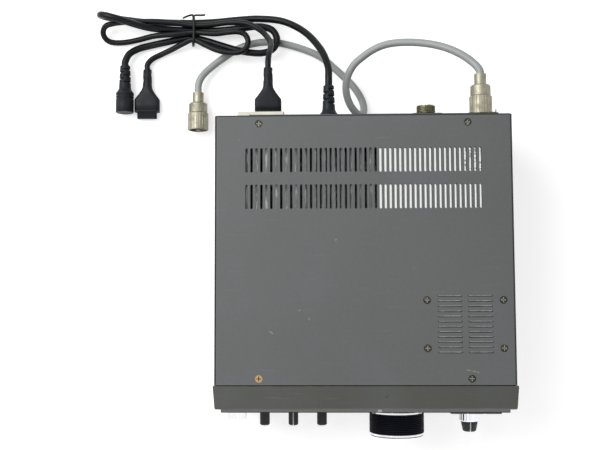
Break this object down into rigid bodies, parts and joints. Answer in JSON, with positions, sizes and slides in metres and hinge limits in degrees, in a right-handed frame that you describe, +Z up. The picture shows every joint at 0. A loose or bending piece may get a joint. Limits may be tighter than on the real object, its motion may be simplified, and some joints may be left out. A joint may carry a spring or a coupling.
{
  "type": "hf transceiver",
  "caption": "Desktop short-wave transceiver in a vented charcoal steel case with tuning dial, knobs, keys and meter, and jumper cables plugged into its back.",
  "frame": {"origin": "under the middle of the set without its cables, on the surface that the feet stand on", "axes": "+Z up, -Y towards the front panel, +X to the right of someone facing the set"},
  "size_m": [0.3628, 0.3841, 0.094],
  "materials": {
    "cover_paint": "satin charcoal paint",
    "rear_paint": "satin dark paint",
    "bezel_paint": "satin olive-grey paint",
    "panel_plastic": "fine moulded texture",
    "chassis_metal": "bright sheet",
    "sink_metal": "raw cast",
    "tin_plate": "bright plate",
    "board_laminate": "satin lacquer",
    "window_clear": "clear smoked",
    "display_glass": "dark glossy",
    "meter_card": "plain",
    "needle_paint": "plain",
    "speaker_frame": "satin",
    "cone_paper": "felted paper",
    "socket_nickel": "aged nickel",
    "cream_plastic": "moulded",
    "black_plastic": "moulded",
    "bright_nickel": "bright",
    "foot_rubber": "matt",
    "wire_steel": "bright",
    "screw_black": "black oxide",
    "brass": "bright",
    "control_metal": "plain",
    "dial_metal": "turned",
    "grip_rubber": "ribbed",
    "knob_plastic": "fluted",
    "bright_chrome": "bright",
    "mat_rubber": "plain",
    "key_plastic": "moulded",
    "coax_jacket": "smooth vinyl",
    "black_jacket": "smooth vinyl",
    "plug_nickel": "worn nickel",
    "plug_plastic": "moulded",
    "tie_plastic": "plain"
  },
  "bodies": {
    "set": {"top_cover": "cover_paint", "bottom_cover": "cover_paint", "rear_panel": "rear_paint", "front_bezel": "bezel_paint", "front_panel": "panel_plastic", "chassis": "chassis_metal", "heat_sink": "sink_metal", "shield_can": "tin_plate", "circuit_boards": "board_laminate", "windows": "window_clear", "display_module": "display_glass", "meter_case": "meter_card", "speaker": "speaker_frame", "speaker_cone": "cone_paper", "antenna_sockets": "socket_nickel", "data_socket": "cream_plastic", "power_inlet": "cream_plastic", "accessory_socket": "black_plastic", "power_switch": "black_plastic", "ground_terminal": "bright_nickel", "mic_socket": "bright_nickel", "phones_jack": "bright_nickel", "feet": "foot_rubber", "screws": "screw_black", "brass_screw": "brass", "tuning_encoder": "control_metal", "level_pots": "control_metal", "gain_pot": "control_metal", "key_mats": "mat_rubber", "coax_cable": "coax_jacket", "control_cable": "black_jacket", "data_cable": "black_jacket", "coax_plugs": "plug_nickel", "coax_ring_near": "plug_nickel", "control_plugs": "plug_plastic", "data_plugs": "plug_plastic", "cable_tie": "tie_plastic"},
    "tuning": {"tuning_shaft": "wire_steel", "tuning_knob": "dial_metal", "tuning_grip": "grip_rubber"},
    "level_left": {"level_knob_left": "knob_plastic"},
    "level_middle": {"level_knob_middle": "knob_plastic"},
    "level_right": {"level_knob_right": "knob_plastic"},
    "gain_outer": {"gain_sleeve": "wire_steel", "gain_skirt": "bright_chrome"},
    "gain_inner": {"gain_spindle": "wire_steel", "gain_knob": "knob_plastic"},
    "power": {"power_button": "bright_chrome"},
    "key_a": {"key_left": "key_plastic"},
    "key_b": {"key_middle": "key_plastic"},
    "key_c": {"key_right": "key_plastic"},
    "mode_a": {"mode_key_1": "key_plastic"},
    "mode_b": {"mode_key_2": "key_plastic"},
    "mode_c": {"mode_key_3": "key_plastic"},
    "mode_d": {"mode_key_4": "key_plastic"},
    "needle": {"meter_needle": "needle_paint"},
    "bail": {"tilt_bail": "wire_steel"},
    "far_ring": {"coax_ring_far": "plug_nickel"}
  },
  "joints": [
    {"name": "dial_turn", "type": "hinge", "parent": "set", "child": "tuning", "pos_m": [0.029, -0.125, 0.04], "axis": [0, 1, 0], "continuous": true},
    {"name": "level_left_turn", "type": "hinge", "parent": "set", "child": "level_left", "pos_m": [-0.0845, -0.12, 0.03], "axis": [0, 1, 0], "range_deg": [-50, 250]},
    {"name": "level_middle_turn", "type": "hinge", "parent": "set", "child": "level_middle", "pos_m": [-0.0597, -0.12, 0.03], "axis": [0, 1, 0], "range_deg": [-150, 150]},
    {"name": "level_right_turn", "type": "hinge", "parent": "set", "child": "level_right", "pos_m": [-0.0349, -0.12, 0.03], "axis": [0, 1, 0], "range_deg": [-250, 50]},
    {"name": "gain_outer_turn", "type": "hinge", "parent": "set", "child": "gain_outer", "pos_m": [0.0915, -0.12, 0.036], "axis": [0, 1, 0], "range_deg": [-150, 150]},
    {"name": "gain_inner_turn", "type": "hinge", "parent": "set", "child": "gain_inner", "pos_m": [0.0915, -0.13, 0.036], "axis": [0, 1, 0], "range_deg": [-150, 150]},
    {"name": "power_press", "type": "slide", "parent": "set", "child": "power", "axis": [0, 1, 0], "range_m": [0, 0.003], "stiffness_N_per_m": 250},
    {"name": "key_left_press", "type": "slide", "parent": "set", "child": "key_a", "axis": [0, 1, 0], "range_m": [0, 0.001], "stiffness_N_per_m": 400},
    {"name": "key_middle_press", "type": "slide", "parent": "set", "child": "key_b", "axis": [0, 1, 0], "range_m": [0, 0.001], "stiffness_N_per_m": 400},
    {"name": "key_right_press", "type": "slide", "parent": "set", "child": "key_c", "axis": [0, 1, 0], "range_m": [0, 0.001], "stiffness_N_per_m": 400},
    {"name": "mode_1_press", "type": "slide", "parent": "set", "child": "mode_a", "axis": [0, 1, 0], "range_m": [0, 0.001], "stiffness_N_per_m": 400},
    {"name": "mode_2_press", "type": "slide", "parent": "set", "child": "mode_b", "axis": [0, 1, 0], "range_m": [0, 0.001], "stiffness_N_per_m": 400},
    {"name": "mode_3_press", "type": "slide", "parent": "set", "child": "mode_c", "axis": [0, 1, 0], "range_m": [0, 0.001], "stiffness_N_per_m": 400},
    {"name": "mode_4_press", "type": "slide", "parent": "set", "child": "mode_d", "axis": [0, 1, 0], "range_m": [0, 0.001], "stiffness_N_per_m": 400},
    {"name": "needle_swing", "type": "hinge", "parent": "set", "child": "needle", "pos_m": [-0.0845, -0.1047, 0.062], "axis": [0, 1, 0], "range_deg": [0, 90], "stiffness_Nm_per_rad": 0.00002},
    {"name": "bail_swing", "type": "hinge", "parent": "set", "child": "bail", "pos_m": [0, -0.0727, 0.0044], "axis": [-1, 0, 0], "range_deg": [0, 100]},
    {"name": "far_ring_turn", "type": "hinge", "parent": "set", "child": "far_ring", "pos_m": [-0.147, 0.14, 0.0096], "axis": [0, 1, 0], "continuous": true}
  ]
}
